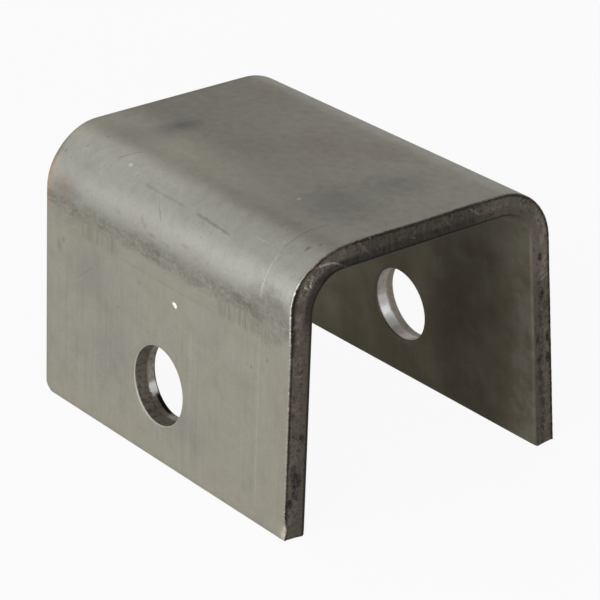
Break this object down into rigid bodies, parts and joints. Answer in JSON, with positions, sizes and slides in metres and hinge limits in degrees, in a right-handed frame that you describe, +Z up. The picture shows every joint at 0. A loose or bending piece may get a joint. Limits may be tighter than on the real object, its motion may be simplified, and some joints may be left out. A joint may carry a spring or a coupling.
{
  "type": "spring hanger",
  "caption": "Channel folded from steel plate, welded under a frame by its web, with a bolt hole through its legs that carries the eye of a leaf spring.",
  "frame": {"origin": "middle of the weld face, the outer face of the web", "axes": "+X across the legs, along the bolt; +Y along the folds, away from the square-cornered cut end; +Z up, out of the weld face"},
  "size_m": [0.0652, 0.08, 0.055],
  "materials": {
    "bare_steel": "bare pickled mill plate, satin and faintly streaked along the rolling direction, with darker sheared edges and rubbed bends"
  },
  "bodies": {
    "root": {"hanger": "bare_steel"}
  },
  "joints": []
}
